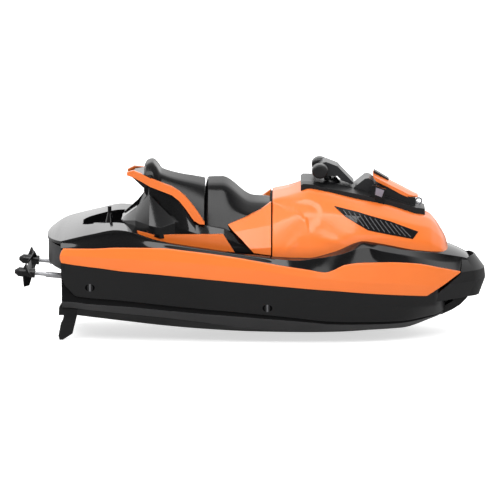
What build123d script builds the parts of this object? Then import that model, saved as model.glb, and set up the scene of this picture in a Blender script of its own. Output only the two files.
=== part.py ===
# Toy motorboat in the form of a personal watercraft, twin screws, at its own size in millimetres.
# Frame: +X to the bow, +Y to port, +Z up. The boat stands as it parks, on its two stern fins and
# on the low point of its keel, so it sits a few degrees bow down. Z = 0 is that floor and the
# origin is under the middle of its overall length and beam.
from build123d import *
import math
import os

os.makedirs("parts", exist_ok=True)

# Driving dimensions
skin = 1.6  # thickness of the painted side panels
seam = 0.25  # shut line between two mouldings
keel_flat = 3.0  # half width of the flat along the keel
skirt_step = 1.6  # how far the hull's skirt stands out from its chine
tall = 60.0  # reaches past the boat on any side

# Hull and deck form, half sections from stern to bow, each corner as y, z
form_columns = ("x", "keel_z", "chine", "knuckle", "band", "ridge", "top", "crest", "centre_z")
form_table = [
    (-97, 9.8, (30.5, 22.2), (36.0, 26.0), (41.0, 44.6), (42.2, 48.4), (41.0, 52.4),
     (39.2, 55.7), 55.2),
    (-82, 7.8, (31.4, 19.6), (37.0, 24.6), (42.1, 42.4), (43.3, 47.8), (42.1, 52.6),
     (40.1, 58.8), 60.0),
    (-66, 5.9, (32.2, 17.0), (38.0, 23.6), (43.0, 40.4), (44.4, 47.0), (43.2, 53.0),
     (41.0, 61.7), 62.0),
    (-48, 3.8, (32.8, 15.1), (38.7, 21.9), (43.7, 38.8), (44.9, 46.2), (43.8, 52.8),
     (41.9, 56.0), 57.5),
    (-25, 1.8, (33.6, 11.9), (39.6, 19.7), (44.6, 36.5), (45.6, 44.7), (44.5, 50.5),
     (42.5, 52.2), 54.0),
    (2, 0.4, (33.8, 8.8), (39.9, 17.3), (44.8, 34.0), (45.8, 42.0), (44.8, 46.8),
     (42.8, 48.4), 52.0),
    (30, 0.0, (32.8, 6.9), (39.0, 14.2), (44.2, 31.3), (45.2, 38.3), (44.1, 43.2),
     (37.3, 45.6), 50.0),
    (44, 0.3, (31.4, 6.9), (37.8, 12.6), (42.8, 30.0), (43.9, 36.6), (42.8, 43.6),
     (36.0, 48.4), 53.0),
    (58, 1.2, (29.0, 7.4), (35.8, 12.0), (41.0, 28.5), (42.2, 35.0), (41.2, 44.8),
     (34.2, 54.6), 57.0),
    (80, 4.4, (23.2, 9.4), (30.0, 12.8), (35.2, 26.4), (36.2, 32.2), (35.4, 43.6),
     (28.3, 50.0), 54.0),
    (98, 9.0, (14.5, 13.2), (20.5, 16.2), (27.6, 24.8), (28.6, 30.0), (27.8, 40.0),
     (20.5, 47.0), 49.5),
    (112, 16.2, (6.0, 18.0), (9.5, 20.5), (17.0, 25.0), (18.0, 29.0), (17.2, 35.4),
     (12.5, 43.5), 44.5),
    (117, 20.1, (3.6, 20.4), (5.0, 20.7), (11.0, 25.0), (12.0, 29.0), (11.2, 35.4),
     (7.5, 41.0), 41.5),
]
stern_x, bow_x = form_table[0][0], form_table[-1][0]

# Parting plane between hull and deck, hidden behind the side panels
parting_z = 39.6  # height at x = 0
parting_slope = -0.085  # rise per millimetre towards the bow
well_rise = 3.0  # footwell floor above the parting plane


def mirrored(half):
    """Closed outline from its port half, given from the bottom up."""
    return half + [(-y, z) for y, z in reversed(half) if y]


def cross_loft(sections, ruled=True):
    """Body through closed outlines, each given as x and its y, z corners."""
    with BuildPart() as body:
        for x, points in sections:
            with BuildSketch(Plane.YZ.offset(x)):
                with BuildLine():
                    Polyline(*points, close=True)
                make_face()
        loft(ruled=ruled)
    return body.part


def side_prism(points, low_y, high_y):
    """Body with a side view given as x, z corners, spanning low_y to high_y."""
    with BuildPart() as body:
        with BuildSketch(Plane.XZ.offset(-low_y)):
            with BuildLine():
                Polyline(*points, close=True)
            make_face()
        extrude(amount=low_y - high_y)
    return body.part


def half_space(rise, up):
    """Everything above or below the parting plane raised by rise."""
    slant = Plane(origin=(0, 0, parting_z + rise), x_dir=(1, 0, parting_slope),
                  z_dir=(-parting_slope, 0, 1))
    with BuildPart() as body:
        with BuildSketch(slant):
            Rectangle(260, 120)
        extrude(amount=tall + 20 if up else -tall)
    return body.part


def save(piece, name):
    piece.part.label = name
    export_step(piece.part, f"parts/{name}.step")


def form_section(row, inset):
    x, keel_z, chine, knuckle, band, ridge, top, crest, centre_z = row
    tuck = (max(knuckle[0] - skirt_step, chine[0] + 0.4), knuckle[1] - 0.15)
    half = [(keel_flat, keel_z), chine, tuck, knuckle, band, ridge, top, crest]
    if inset:
        half = [(max(y - inset, 0.5), z) for y, z in half]
    return x, mirrored(half + [(0, centre_z)])


outer_form = cross_loft([form_section(row, 0) for row in form_table])
core_form = cross_loft([form_section(row, skin) for row in form_table])
behind_form = cross_loft([form_section(row, skin + 0.02) for row in form_table])

# Side panel outline in the side view
panel_low = [(-96.4, 44.8), (-92, 43.4), (-76, 41.6), (-66.6, 40.3), (-40, 38.1), (0, 34.3),
             (22, 32.2), (45, 30), (66, 27.8), (93, 25.0)]
panel_high = [(111.2, 35.8), (101, 39.2), (87, 42.9), (72.6, 44.5), (58.6, 44.9), (50.2, 44.0),
              (43.5, 41.2), (39.8, 40.2), (30.7, 41.7), (16.7, 43.9), (-6.8, 48.2), (-33.3, 51.7),
              (-46.7, 53.0), (-67.3, 53.1), (-82.6, 52.3), (-95.6, 52.2)]
panel_outline = panel_low + panel_high

# Bow bumper, side view of the block it fills
bumper_outline = [(92.3, 20.9), (111.3, 34.8), (112.5, 48), (130, 48), (130, 20.9)]
bumper_plans = [  # z, then x, y corners along the port side, then the x of the nose
    (20.9, (90, 29.3), (98, 24.8), (108, 16.2), (116, 9.0), 121.8),
    (30.0, (90, 32.6), (98, 28.9), (108, 21.2), (119, 13.0), 125.0),
    (35.5, (90, 32.4), (98, 28.6), (108, 21.0), (118.6, 12.6), 124.4),
    (42.5, (90, 30.0), (98, 26.0), (108, 17.6), (113.6, 10.0), 119.2),
]
nose_plan = [(98, 25.5), (107.5, 18.6), (113.2, 11.0)]
nose_tip_x, nose_low_z = 118.3, 36.0
nose_side = [(98, 36), (98, 48.4), (104, 47.0), (112, 43.6), (118.5, 39.2), (118.5, 36)]

with BuildPart() as bumper_form:
    for z, *side, nose_x in bumper_plans:
        with BuildSketch(Plane.XY.offset(z)):
            with BuildLine():
                Polyline(*side)
                ThreePointArc(side[-1], (nose_x, 0), (side[-1][0], -side[-1][1]))
                Polyline(*[(x, -y) for x, y in reversed(side)])
                Line((side[0][0], -side[0][1]), side[0])
            make_face()
    loft(ruled=True)


def nose_body(grow):
    """The deck's nose inside the bumper, grown all round by grow."""
    with BuildPart() as body:
        with BuildSketch(Plane.XY.offset(nose_low_z - grow)):
            with BuildLine():
                Polyline(*nose_plan)
                ThreePointArc(nose_plan[-1], (nose_tip_x, 0), (nose_plan[-1][0], -nose_plan[-1][1]))
                Polyline(*[(x, -y) for x, y in reversed(nose_plan)])
                Line((nose_plan[0][0], -nose_plan[0][1]), nose_plan[0])
            make_face()
            if grow:
                offset(amount=grow)
        extrude(amount=20)
        if not grow:
            add(side_prism(nose_side, -tall, tall), mode=Mode.INTERSECT)
    return body.part


nose_cut = nose_body(seam)

bumper_space = side_prism(bumper_outline, -tall, tall)
lower_space = half_space(0, up=False)
upper_space = half_space(0, up=True)
panel_space = [side_prism(panel_outline, 4, tall), side_prism(panel_outline, -tall, -4)]
bumper_cut = side_prism([(x - 0.15, z - 0.1) for x, z in bumper_outline[:3]]
                        + [(130, 50), (130, 20.8)], -tall, tall)

with BuildPart() as side_panels:
    add(outer_form)
    add(core_form, mode=Mode.SUBTRACT)
    add(panel_space, mode=Mode.INTERSECT)
    add(bumper_cut, mode=Mode.SUBTRACT)

with BuildPart() as panel_pocket:
    for side in panel_space:
        add(side)
    add(behind_form, mode=Mode.SUBTRACT)

# Moulded hull with its flat transom
tube_y, tube_radius, shaft_radius = 18.7, 1.5, 1.0
shaft_clear = 0.05  # running fit of the shafts in their tubes
shaft_rake = 5.5  # degrees, rising aft
tube_stern_x, tube_bow_x, transom_axis_z = -107.6, -88.0, 33.2


def shaft_plane(x, y):
    """Plane across a propeller shaft, facing aft."""
    aft = Vector(-math.cos(math.radians(shaft_rake)), 0, math.sin(math.radians(shaft_rake)))
    z = transom_axis_z + (stern_x - x) * math.tan(math.radians(shaft_rake))
    return Plane(origin=(x, y, z), x_dir=(0, 1, 0), z_dir=aft)


with BuildPart() as hull:
    add(outer_form)
    add(lower_space, mode=Mode.INTERSECT)
    add(panel_pocket.part, mode=Mode.SUBTRACT)
    add(bumper_cut, mode=Mode.SUBTRACT)
    for side in (-1, 1):
        with BuildSketch(shaft_plane(tube_bow_x, side * tube_y)):
            Circle(tube_radius)
        extrude(amount=30, mode=Mode.SUBTRACT)
    slot_plane = Plane(origin=(104.9, 0, 17.4), x_dir=(1, 0, 0.56), z_dir=(0, -1, 0))
    with BuildSketch(slot_plane):
        SlotOverall(7.5, 3.0)
    extrude(amount=tall, both=True, mode=Mode.SUBTRACT)

# Deck moulding with footwells, the stern recess and the rounded lip over the stern band
band_low_z, band_high_z, band_bulge_x, band_half = 40.4, 52.4, -107.4, 41.3
lip_side = [(stern_x, 55.4), (-107.6, 53.6), (-107.6, 52.6), (stern_x, 52.6)]


def stern_round(low_z, high_z, inset):
    """The round of the stern from low_z to high_z, drawn in by inset."""
    with BuildPart() as body:
        with BuildSketch(Plane.XY.offset(low_z)):
            with BuildLine():
                ThreePointArc((stern_x, band_half - inset), (band_bulge_x + inset, 0),
                              (stern_x, inset - band_half))
                Line((stern_x, inset - band_half), (stern_x, band_half - inset))
            make_face()
        extrude(amount=high_z - low_z)
    return body.part


well_plan = [(-58, 31), (-50, 38.6), (2, 39.4), (24, 36.4), (26, 31)]
recess_plan = [(-88, 7), (-84, 12), (-66, 21), (-66, -21), (-84, -12), (-88, -7)]
recess_floor_z = 56.0
floor_plane = Plane(origin=(0, 0, parting_z + well_rise), x_dir=(1, 0, parting_slope),
                    z_dir=(-parting_slope, 0, 1))

with BuildPart() as deck:
    add(outer_form)
    add(upper_space, mode=Mode.INTERSECT)
    add(panel_pocket.part, mode=Mode.SUBTRACT)
    add(bumper_cut, mode=Mode.SUBTRACT)
    add(nose_body(0))
    add(stern_round(lip_side[-1][1], 56, 0).intersect(side_prism(lip_side, -tall, tall)))
    with BuildSketch(floor_plane):
        for side in (-1, 1):
            with BuildLine():
                Polyline(*[(x, side * y) for x, y in well_plan], close=True)
            make_face()
    extrude(amount=40, mode=Mode.SUBTRACT)
    with BuildSketch(Plane.XY.offset(recess_floor_z)):
        with BuildLine():
            Polyline(*recess_plan, close=True)
        make_face()
    extrude(amount=20, mode=Mode.SUBTRACT)

with BuildPart() as bow_bumper:
    add(bumper_form.part)
    add(bumper_space, mode=Mode.INTERSECT)
    add(nose_cut, mode=Mode.SUBTRACT)

# Rounded band round the stern, above the shaft tubes
with BuildPart() as stern_band:
    add(stern_round(band_low_z, band_high_z, 0.5))

# Cowl
cowl_table = [  # x, then y, z corners from the deck up to the top
    (11.5, (37.6, 42), (36.8, 52), (31.5, 63), (20, 73.2), (0, 75.0)),
    (20, (37.5, 41), (36.4, 52), (30.8, 66), (18, 75.4), (0, 77.4)),
    (27, (37.4, 40), (36.0, 52), (30, 68), (18, 78.0), (0, 80.2)),
    (31, (37.2, 40), (35.8, 52), (29.9, 68.2), (18.4, 79.6), (0, 81.0)),
    (40, (36.4, 42), (35.0, 54), (29.5, 68), (19, 78.2), (0, 79.4)),
    (56, (34.4, 48), (33.2, 58), (28.5, 67.6), (19, 74.2), (0, 75.4)),
    (70, (31.0, 46), (30.2, 57), (26.0, 65.6), (17.5, 71.2), (0, 72.4)),
    (85, (26.2, 44), (25.5, 54), (21.5, 61.6), (14, 66.0), (0, 67.6)),
    (95, (21.8, 42), (20.8, 52), (16.5, 58.6), (10, 62.6), (0, 63.8)),
    (101, (18.4, 40), (16.6, 48), (12.5, 53), (7.4, 55.0), (0, 55.8)),
    (104, (16.2, 40), (14.0, 44), (10.5, 47), (6, 49.0), (0, 49.8)),
]
cowl_form = cross_loft([(row[0], mirrored(list(row[1:]))) for row in cowl_table])
vent_outline = [(44.8, 71.2), (78.7, 63.4), (87.4, 58.6), (84.3, 55.4), (61, 60.6)]
vent_low_y = 17.0

with BuildPart() as cowl:
    add(cowl_form)
    add(outer_form, mode=Mode.SUBTRACT)
    add(nose_body(0), mode=Mode.SUBTRACT)
    for low_y, high_y in ((vent_low_y, tall), (-tall, -vent_low_y)):
        add(side_prism(vent_outline, low_y, high_y), mode=Mode.SUBTRACT)

louvre_pitch = 3.2
with BuildPart() as vents:
    add([side_prism(vent_outline, vent_low_y, tall), side_prism(vent_outline, -tall, -vent_low_y)])
    add(cowl_form, mode=Mode.INTERSECT)

# Steering: a boot on the console with the handlebar's post running in it
steer_x, steer_z, steer_rake = 41.5, 81.6, 20.0  # rake is degrees back from upright
post_radius, post_clear, post_foot = 2.0, 0.08, -0.6
steer_up = (-math.sin(math.radians(steer_rake)), 0, math.cos(math.radians(steer_rake)))
steer_plane = Plane(origin=(steer_x, 0, steer_z), x_dir=(0, 1, 0), z_dir=steer_up)

# Console on the cowl, with the riser that carries the hood lid
console_table = [  # x, then y and z of the rail's top edge and of the top's inner edge
    (26.8, (16.2, 81.6), (12, 82.4)), (28, (17, 82.4), (12, 83.0)),
    (33.5, (17.6, 82.2), (12, 83.0)), (36.5, (17.8, 81.0), (10, 82.2)),
    (48, (17.8, 78.9), (8, 80.6)), (62.5, (17, 75.8), (8, 77.2)),
    (71.3, (15.4, 73.5), (8, 74.6)), (79, (13.6, 71.4), (7.5, 72.4)),
    (87.4, (11.8, 69.0), (6.5, 69.6)), (92.4, (7.6, 67.6), (5, 68.0)),
]
console_low_z = 58.0
riser_side = [(64, 70), (65.4, 81), (72.6, 80.1), (79.7, 76.2), (84.2, 74.1), (87.3, 73.8),
              (87.3, 66)]
riser_half = 8.6

with BuildPart() as console:
    add(cross_loft([(x, mirrored([(rail[0], console_low_z), rail, inner]))
                    for x, rail, inner in console_table]))
    add(side_prism(riser_side, -riser_half, riser_half))
    add(cowl_form, mode=Mode.SUBTRACT)
    with BuildSketch(steer_plane.offset(post_foot - 0.3)):
        Circle(post_radius + post_clear)
    extrude(amount=10, mode=Mode.SUBTRACT)

# Hood lid with its dark spine, gauge pod and mirrors, all seated on the console
lid_table = [  # x, half width, then z of the lower edge, the upper edge and the ridge
    (65.0, 9.5, 84.6, 85.4, 86.0), (66.6, 9.5, 82.4, 84.4, 85.2), (72.6, 9.5, 79.5, 81.2, 82.2),
    (79.7, 9.0, 75.5, 77.6, 78.6), (84.2, 8.5, 73.5, 75.2, 76.2), (86.4, 6.5, 73.2, 74.4, 75.0),
    (88.8, 4.0, 73.4, 73.8, 74.0),
]
ridge_half = 3.0
with BuildPart() as hood_lid:
    add(cross_loft([(x, mirrored([(half, low), (half, edge), (min(ridge_half, half - 1), ridge)]))
                    for x, half, low, edge, ridge in lid_table]))
    add(console.part, mode=Mode.SUBTRACT)

spine_side = [(65.2, 85.0), (65.6, 87.3), (73.4, 82.7), (73.0, 81.4)]
with BuildPart() as hood_spine:
    add(side_prism(spine_side, -ridge_half, ridge_half))
    add(hood_lid.part, mode=Mode.SUBTRACT)
    add(console.part, mode=Mode.SUBTRACT)

pod_side = [(53.8, 77.4), (54.6, 79.0), (60.6, 83.9), (62.6, 84.2), (64.4, 83.2), (66.4, 79.6),
            (70, 76.4), (70, 72), (54, 74)]
pod_half = 9.0
with BuildPart() as gauge_pod:
    add(side_prism(pod_side, -pod_half, pod_half))
    add(console.part, mode=Mode.SUBTRACT)
    add(cowl_form, mode=Mode.SUBTRACT)
    add(hood_lid.part, mode=Mode.SUBTRACT)

mirror_side = [(64.7, 79.8), (66.6, 81.4), (71.4, 79.2), (70.6, 70), (65, 70)]
mirror_low_y, mirror_high_y = 12.0, 16.4
with BuildPart() as mirrors:
    for low_y, high_y in ((mirror_low_y, mirror_high_y), (-mirror_high_y, -mirror_low_y)):
        add(side_prism(mirror_side, low_y, high_y))
    add(console.part, mode=Mode.SUBTRACT)
    add(cowl_form, mode=Mode.SUBTRACT)

with BuildPart() as steering_boot:
    with BuildSketch(steer_plane.offset(-3)):
        Circle(5.8)
    with BuildSketch(steer_plane.offset(0.9)):
        Circle(4.3)
    loft()
    add(console.part, mode=Mode.SUBTRACT)
    add(cowl_form, mode=Mode.SUBTRACT)
    with BuildSketch(steer_plane.offset(post_foot - 0.3)):
        Circle(post_radius + post_clear)
    extrude(amount=10, mode=Mode.SUBTRACT)

bar_side = [(35.6, 84.6), (36.2, 90.2), (38.6, 92.2), (40.4, 92.4), (46.3, 90.1), (47.8, 88.4),
            (54.8, 81.2), (53.8, 80.5), (48.2, 82.6), (46.0, 85.0)]
bar_half = 7.0
grip_x, grip_z, grip_radius, bar_radius = 38.4, 88.7, 3.0, 1.8
grip_low_y, grip_high_y = 7.6, 15.2
with BuildPart() as handlebar:
    add(side_prism(bar_side, -bar_half, bar_half))
    with BuildSketch(steer_plane.offset(post_foot)):
        Circle(post_radius)
    extrude(amount=7)
    with BuildSketch(Plane.XZ.offset(-grip_low_y)):
        with Locations((grip_x, grip_z)):
            Circle(bar_radius)
    extrude(amount=2 * grip_low_y)

with BuildPart() as grips:
    for low_y in (-grip_high_y, grip_low_y):
        with BuildSketch(Plane.XZ.offset(-low_y)):
            with Locations((grip_x, grip_z)):
                Circle(grip_radius)
        extrude(amount=grip_low_y - grip_high_y)

# Tow ring at the front of the console
ring_x, ring_z, ring_bore, ring_outer, ring_thick = 89.3, 70.6, 1.2, 2.0, 0.8
with BuildPart() as tow_ring:
    with BuildSketch(Plane.XZ.offset(-ring_thick / 2)):
        with Locations((ring_x, ring_z)):
            Circle(ring_outer)
            Circle(ring_bore, mode=Mode.SUBTRACT)
    extrude(amount=ring_thick)
    add(console.part, mode=Mode.SUBTRACT)

# Seat, in two cushions over a base
knee_outline = [(-11.5, 61.9), (-1.1, 66), (5.6, 69.4), (11.2, 73.6), (11.2, 40), (8, 43.7),
                (4.9, 46), (1.6, 49.7), (-3.8, 55.1)]
knee_table = [
    (-13, (37.0, 42), (34.5, 50), (29.5, 58), (20, 63.5), (0, 64)),
    (11.25, (37.6, 42), (36.8, 52), (31.5, 63), (21, 74.2), (0, 75.6)),
]
knee_form = cross_loft([(row[0], mirrored(list(row[1:]))) for row in knee_table])
knee_low_y = 19.0

with BuildPart() as knee_panels:
    add([side_prism(knee_outline, knee_low_y, tall), side_prism(knee_outline, -tall, -knee_low_y)])
    add(knee_form, mode=Mode.INTERSECT)
    add(outer_form, mode=Mode.SUBTRACT)

base_table = [  # x, then y, z corners at the foot, the shoulder and the top
    (-68, (17, 56), (14, 60.5), (9, 61.8)),
    (-60, (21, 54), (18, 63), (11, 67.5)),
    (-54.2, (23, 52), (20, 64), (14.5, 76.2)),
    (-53.0, (23, 52), (20.5, 64), (15, 81.8)),
    (-46.5, (26, 50), (23, 64), (18.4, 80.4)),
    (-40.8, (28, 49), (25, 62), (21, 78.6)),
    (-35.1, (29, 48), (27, 60), (22.8, 73.4)),
    (-28.3, (30, 46), (28.5, 58), (24.2, 63.6)),
    (-23, (31, 46), (29.5, 57), (25.4, 61.6)),
    (-13.5, (31, 46), (30, 56), (28, 60.2)),
    (2, (31, 44), (30, 50), (29, 52.0)),
]
with BuildPart() as seat_base:
    add(cross_loft([(row[0], mirrored(list(row[1:]))) for row in base_table]))
    add(outer_form, mode=Mode.SUBTRACT)
    add(knee_panels.part, mode=Mode.SUBTRACT)

# Faceted rear quarters, one each side of the seat base
quarter_table = [
    (-67, [(8, 58), (17, 59), (16, 62.6), (8, 63.2)]),
    (-60, [(8, 57), (26, 58), (24, 64.0), (12, 69)]),
    (-52.6, [(8, 57), (32, 57), (31, 62.6), (19.6, 77)]),
    (-47, [(8, 57), (33, 56), (32.8, 61.6), (23.4, 71.8)]),
    (-38.9, [(8, 57), (31, 56), (30.4, 64.0), (29.2, 64.8)]),
]
with BuildPart() as rear_quarters:
    for side in (-1, 1):
        add(cross_loft([(x, [(side * y, z) for y, z in points]) for x, points in quarter_table]))
    add(seat_base.part, mode=Mode.SUBTRACT)
    add(outer_form, mode=Mode.SUBTRACT)

rear_seat_table = [
    (-55.8, (14, 78), (12, 85), (8, 88.2), (0, 89.2)),
    (-54.6, (15, 76), (12.8, 86), (8.6, 90.4), (0, 91.6)),
    (-51.6, (16, 74), (13, 86.5), (8, 92), (0, 92.8)),
    (-49.2, (17, 72), (13.4, 84), (9.5, 89.6), (0, 90.6)),
    (-46.6, (18, 70), (14.2, 80.5), (10.5, 86.2), (0, 87.6)),
    (-24, (25, 58), (18.5, 72), (12, 80.4), (0, 83.0)),
]
front_seat_table = [
    (-23.7, (25.5, 56), (17, 70), (10, 76.0), (0, 78.0)),
    (-22, (26, 56), (19, 71), (12.5, 81.0), (0, 83.4)),
    (-14.8, (27, 54), (19.5, 70), (12.5, 81.0), (0, 83.6)),
    (1, (28, 50), (20, 66), (12, 71.6), (0, 73.8)),
    (11.2, (28, 50), (21, 66), (13, 71.4), (0, 72.8)),
]
with BuildPart() as seat_rear:
    add(cross_loft([(row[0], mirrored(list(row[1:]))) for row in rear_seat_table]))
    add(seat_base.part, mode=Mode.SUBTRACT)
    add(outer_form, mode=Mode.SUBTRACT)

with BuildPart() as seat_front:
    add(cross_loft([(row[0], mirrored(list(row[1:]))) for row in front_seat_table]))
    add(seat_base.part, mode=Mode.SUBTRACT)
    add(outer_form, mode=Mode.SUBTRACT)
    add(knee_panels.part, mode=Mode.SUBTRACT)

# Side wings, which meet at the tail, and the grab rail under it
wing_table = [  # x, outer y, lower z, upper z
    (-65.0, 6.5, 85.0, 86.6), (-61.5, 9.0, 84.3, 88.0), (-57.0, 13.0, 82.6, 86.9),
    (-52.3, 17.0, 80.6, 85.1), (-46.5, 20.5, 79.0, 83.5), (-40.8, 23.0, 77.2, 81.8),
    (-37.0, 24.0, 74.4, 79.6), (-33.5, 25.0, 70.2, 76.8), (-29.3, 26.0, 64.2, 71.8),
    (-26.0, 26.6, 62.4, 67.2), (-23.6, 27.0, 62.4, 63.4),
]
wing_thick = 2.6
with BuildPart() as wings:
    for side in (-1, 1):
        add(cross_loft([
            (x, [(side * (y - wing_thick), low), (side * y, low), (side * y, high),
                 (side * (y - wing_thick), high)])
            for x, y, low, high in wing_table]))
    for neighbour in (seat_base, seat_rear, seat_front):
        add(neighbour.part, mode=Mode.SUBTRACT)

rail_side = [(-64.4, 85.9), (-61, 87.2), (-55, 86.6), (-52, 85.5), (-52, 82.0), (-54.7, 80.2),
             (-56, 79.6), (-62, 84.2)]
rail_plan = [(-66, 5.2), (-61.5, 8.6), (-57, 12.6), (-52, 16.6)]
with BuildPart() as grab_rail:
    with BuildSketch(Plane.XY.offset(78)):
        with BuildLine():
            Polyline(*(rail_plan + [(x, -y) for x, y in reversed(rail_plan)]), close=True)
        make_face()
    extrude(amount=12)
    add(side_prism(rail_side, -tall, tall), mode=Mode.INTERSECT)
    for neighbour in (seat_base, seat_rear, wings):
        add(neighbour.part, mode=Mode.SUBTRACT)

# Footwell strips along the foot of the seat base
strip_outline = [(-70, 62.5), (-50, 57.9), (-23, 58.1), (-13.9, 58.3), (-7.4, 48), (-7.4, 45.6),
                 (-26, 47.2), (-50, 50)]
strip_low_y, strip_high_y = 31.0, 32.4
with BuildPart() as footwell_strips:
    for low_y, high_y in ((strip_low_y, strip_high_y), (-strip_high_y, -strip_low_y)):
        add(side_prism(strip_outline, low_y, high_y))
    for neighbour in (deck, seat_base, knee_panels, rear_quarters):
        add(neighbour.part, mode=Mode.SUBTRACT)

# Latch in the stern recess
with BuildPart() as latch:
    with BuildSketch(Plane.XY.offset(recess_floor_z)):
        with Locations((-79.0, 0)):
            Circle(4.2)
    extrude(amount=2.2)
    with BuildSketch(Plane.XY.offset(recess_floor_z)):
        with Locations((-74.5, 0)):
            Circle(3.2)
    with BuildSketch(Plane.XY.offset(recess_floor_z + 8)):
        with Locations((-74.5, 0)):
            Circle(1.0)
    loft()
    with BuildSketch(Plane.XY.offset(recess_floor_z + 8)):
        with Locations((-74.5, 0)):
            Circle(1.0)
    extrude(amount=3.5)

# Stern fins, the rear feet of the parked boat
fin_outline = [(-96.9, 22), (-96.9, 14), (-99.6, 8.7), (-100.9, 2.2), (-100.4, 0), (-98.6, 0),
               (-93.4, 3.4), (-91, 13), (-90.6, 22)]
fin_y, fin_thick, bracket_thick = 23.1, 1.8, 5.0
bracket_outline = [(-97, 23), (-100.4, 17.6), (-100.6, 13.6), (-92.6, 13.6), (-90, 17), (-90, 23)]
with BuildPart() as fins:
    for side in (-1, 1):
        for outline, thick in ((fin_outline, fin_thick), (bracket_outline, bracket_thick)):
            middle = side * fin_y
            add(side_prism(outline, middle - thick / 2, middle + thick / 2))
    add(outer_form, mode=Mode.SUBTRACT)

# Shaft tubes, shafts and propellers
with BuildPart() as shaft_tubes:
    for side in (-1, 1):
        with BuildSketch(shaft_plane(tube_bow_x, side * tube_y)):
            Circle(tube_radius)
            Circle(shaft_radius + shaft_clear, mode=Mode.SUBTRACT)
        extrude(amount=(tube_bow_x - tube_stern_x) / math.cos(math.radians(shaft_rake)))

hub_bow_x, hub_length, hub_radius, hub_dome = -113.2, 8.6, 2.5, 2.2
blade_count, blade_radius, blade_pitch_root, blade_pitch_tip = 3, 7.3, 48, 24
blade_chord_root, blade_chord_tip, blade_thick = 6.2, 5.4, 0.7
shaft_bow_x = tube_bow_x - 1.0


def screw(side):
    """Hub and blades of one propeller, side is -1 to starboard and 1 to port."""
    across = shaft_plane(hub_bow_x, side * tube_y)
    with BuildPart() as body:
        with BuildSketch(across):
            Circle(hub_radius)
        extrude(amount=hub_length)
        with BuildSketch(across.offset(hub_length)):
            Circle(hub_radius)
        with BuildSketch(across.offset(hub_length + hub_dome)):
            Circle(0.9)
        loft()
        for n in range(blade_count):
            turn = math.radians(n * 360 / blade_count + 90)
            spoke = across.x_dir * math.cos(turn) + across.y_dir * math.sin(turn)
            outward = Plane(origin=across.offset(hub_length * 0.45).origin, x_dir=across.z_dir,
                            z_dir=spoke)
            for reach, pitch, chord in ((hub_radius - 0.9, blade_pitch_root, blade_chord_root),
                                        (blade_radius, blade_pitch_tip, blade_chord_tip)):
                with BuildSketch(outward.offset(reach)):
                    Rectangle(chord, blade_thick, rotation=side * (90 - pitch))
            loft()
        with BuildSketch(across):
            Circle(shaft_radius)
        extrude(amount=hub_length - 1.5, mode=Mode.SUBTRACT)
    return body.part


def shaft_body(side):
    with BuildPart() as body:
        with BuildSketch(shaft_plane(shaft_bow_x, side * tube_y)):
            Circle(shaft_radius)
        run = (shaft_bow_x - hub_bow_x) / math.cos(math.radians(shaft_rake))
        extrude(amount=run + hub_length - 1.5)
    return body.part


for side, name in ((-1, "starboard"), (1, "port")):
    for build, kind in ((screw, "propeller"), (shaft_body, "prop_shaft")):
        with BuildPart() as piece:
            add(build(side))
        save(piece, f"{kind}_{name}")

pieces = {
    "hull": hull, "deck": deck, "side_panels": side_panels, "bow_bumper": bow_bumper,
    "stern_band": stern_band, "cowl": cowl, "vents": vents, "console": console,
    "hood_lid": hood_lid, "hood_spine": hood_spine, "gauge_pod": gauge_pod, "mirrors": mirrors,
    "steering_boot": steering_boot, "handlebar": handlebar, "grips": grips,
    "tow_ring": tow_ring, "seat_base": seat_base, "seat_rear": seat_rear,
    "seat_front": seat_front, "rear_quarters": rear_quarters, "knee_panels": knee_panels, "wings": wings,
    "grab_rail": grab_rail, "footwell_strips": footwell_strips, "latch": latch,
    "fins": fins, "shaft_tubes": shaft_tubes,
}
for name, piece in pieces.items():
    save(piece, name)
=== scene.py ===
# %% [markdown]
# A toy motorboat in the form of a personal watercraft, rebuilt as a shared 3-D part. The frame
# comes from the CAD, and every piece below sits in its coordinates, with +X to the bow, +Y to port
# and +Z up. Tables hold millimetres, as a drawing does, and MM turns them into Blender's metres.

# %% Load the frame
import math

import bmesh
import bpy
import numpy as np
from mathutils import Matrix, Vector


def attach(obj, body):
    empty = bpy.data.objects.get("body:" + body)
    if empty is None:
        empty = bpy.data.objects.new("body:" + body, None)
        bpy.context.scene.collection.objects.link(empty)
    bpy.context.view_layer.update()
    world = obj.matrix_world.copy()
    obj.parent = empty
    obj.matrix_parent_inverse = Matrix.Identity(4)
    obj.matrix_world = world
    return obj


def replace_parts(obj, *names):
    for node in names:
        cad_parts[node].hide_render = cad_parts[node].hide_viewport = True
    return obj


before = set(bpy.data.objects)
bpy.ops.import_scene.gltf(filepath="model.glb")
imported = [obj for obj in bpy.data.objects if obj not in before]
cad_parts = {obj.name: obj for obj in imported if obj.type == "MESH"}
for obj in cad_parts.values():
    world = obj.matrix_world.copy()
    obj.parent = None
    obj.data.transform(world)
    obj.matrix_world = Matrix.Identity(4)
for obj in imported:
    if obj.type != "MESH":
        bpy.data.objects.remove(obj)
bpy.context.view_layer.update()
MM = 0.001
FLIP = np.array([1, -1, 1])  # takes a point to the other side of the boat

# %% [markdown]
# A moulded toy shows only the outside of thin shells. Such a shell could be pushed about by hand in
# edit mode, but a grid of points worked out with numpy can be measured and made again. Each grid is
# stitched into one closed mesh, either a plate with two skins or a tube with two ends.

# %% Turning grids of points into closed bodies


def surface(x, y, z):
    """A grid of points from three arrays that stretch to one shape."""
    return np.stack(np.broadcast_arrays(x, y, z), -1)


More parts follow.
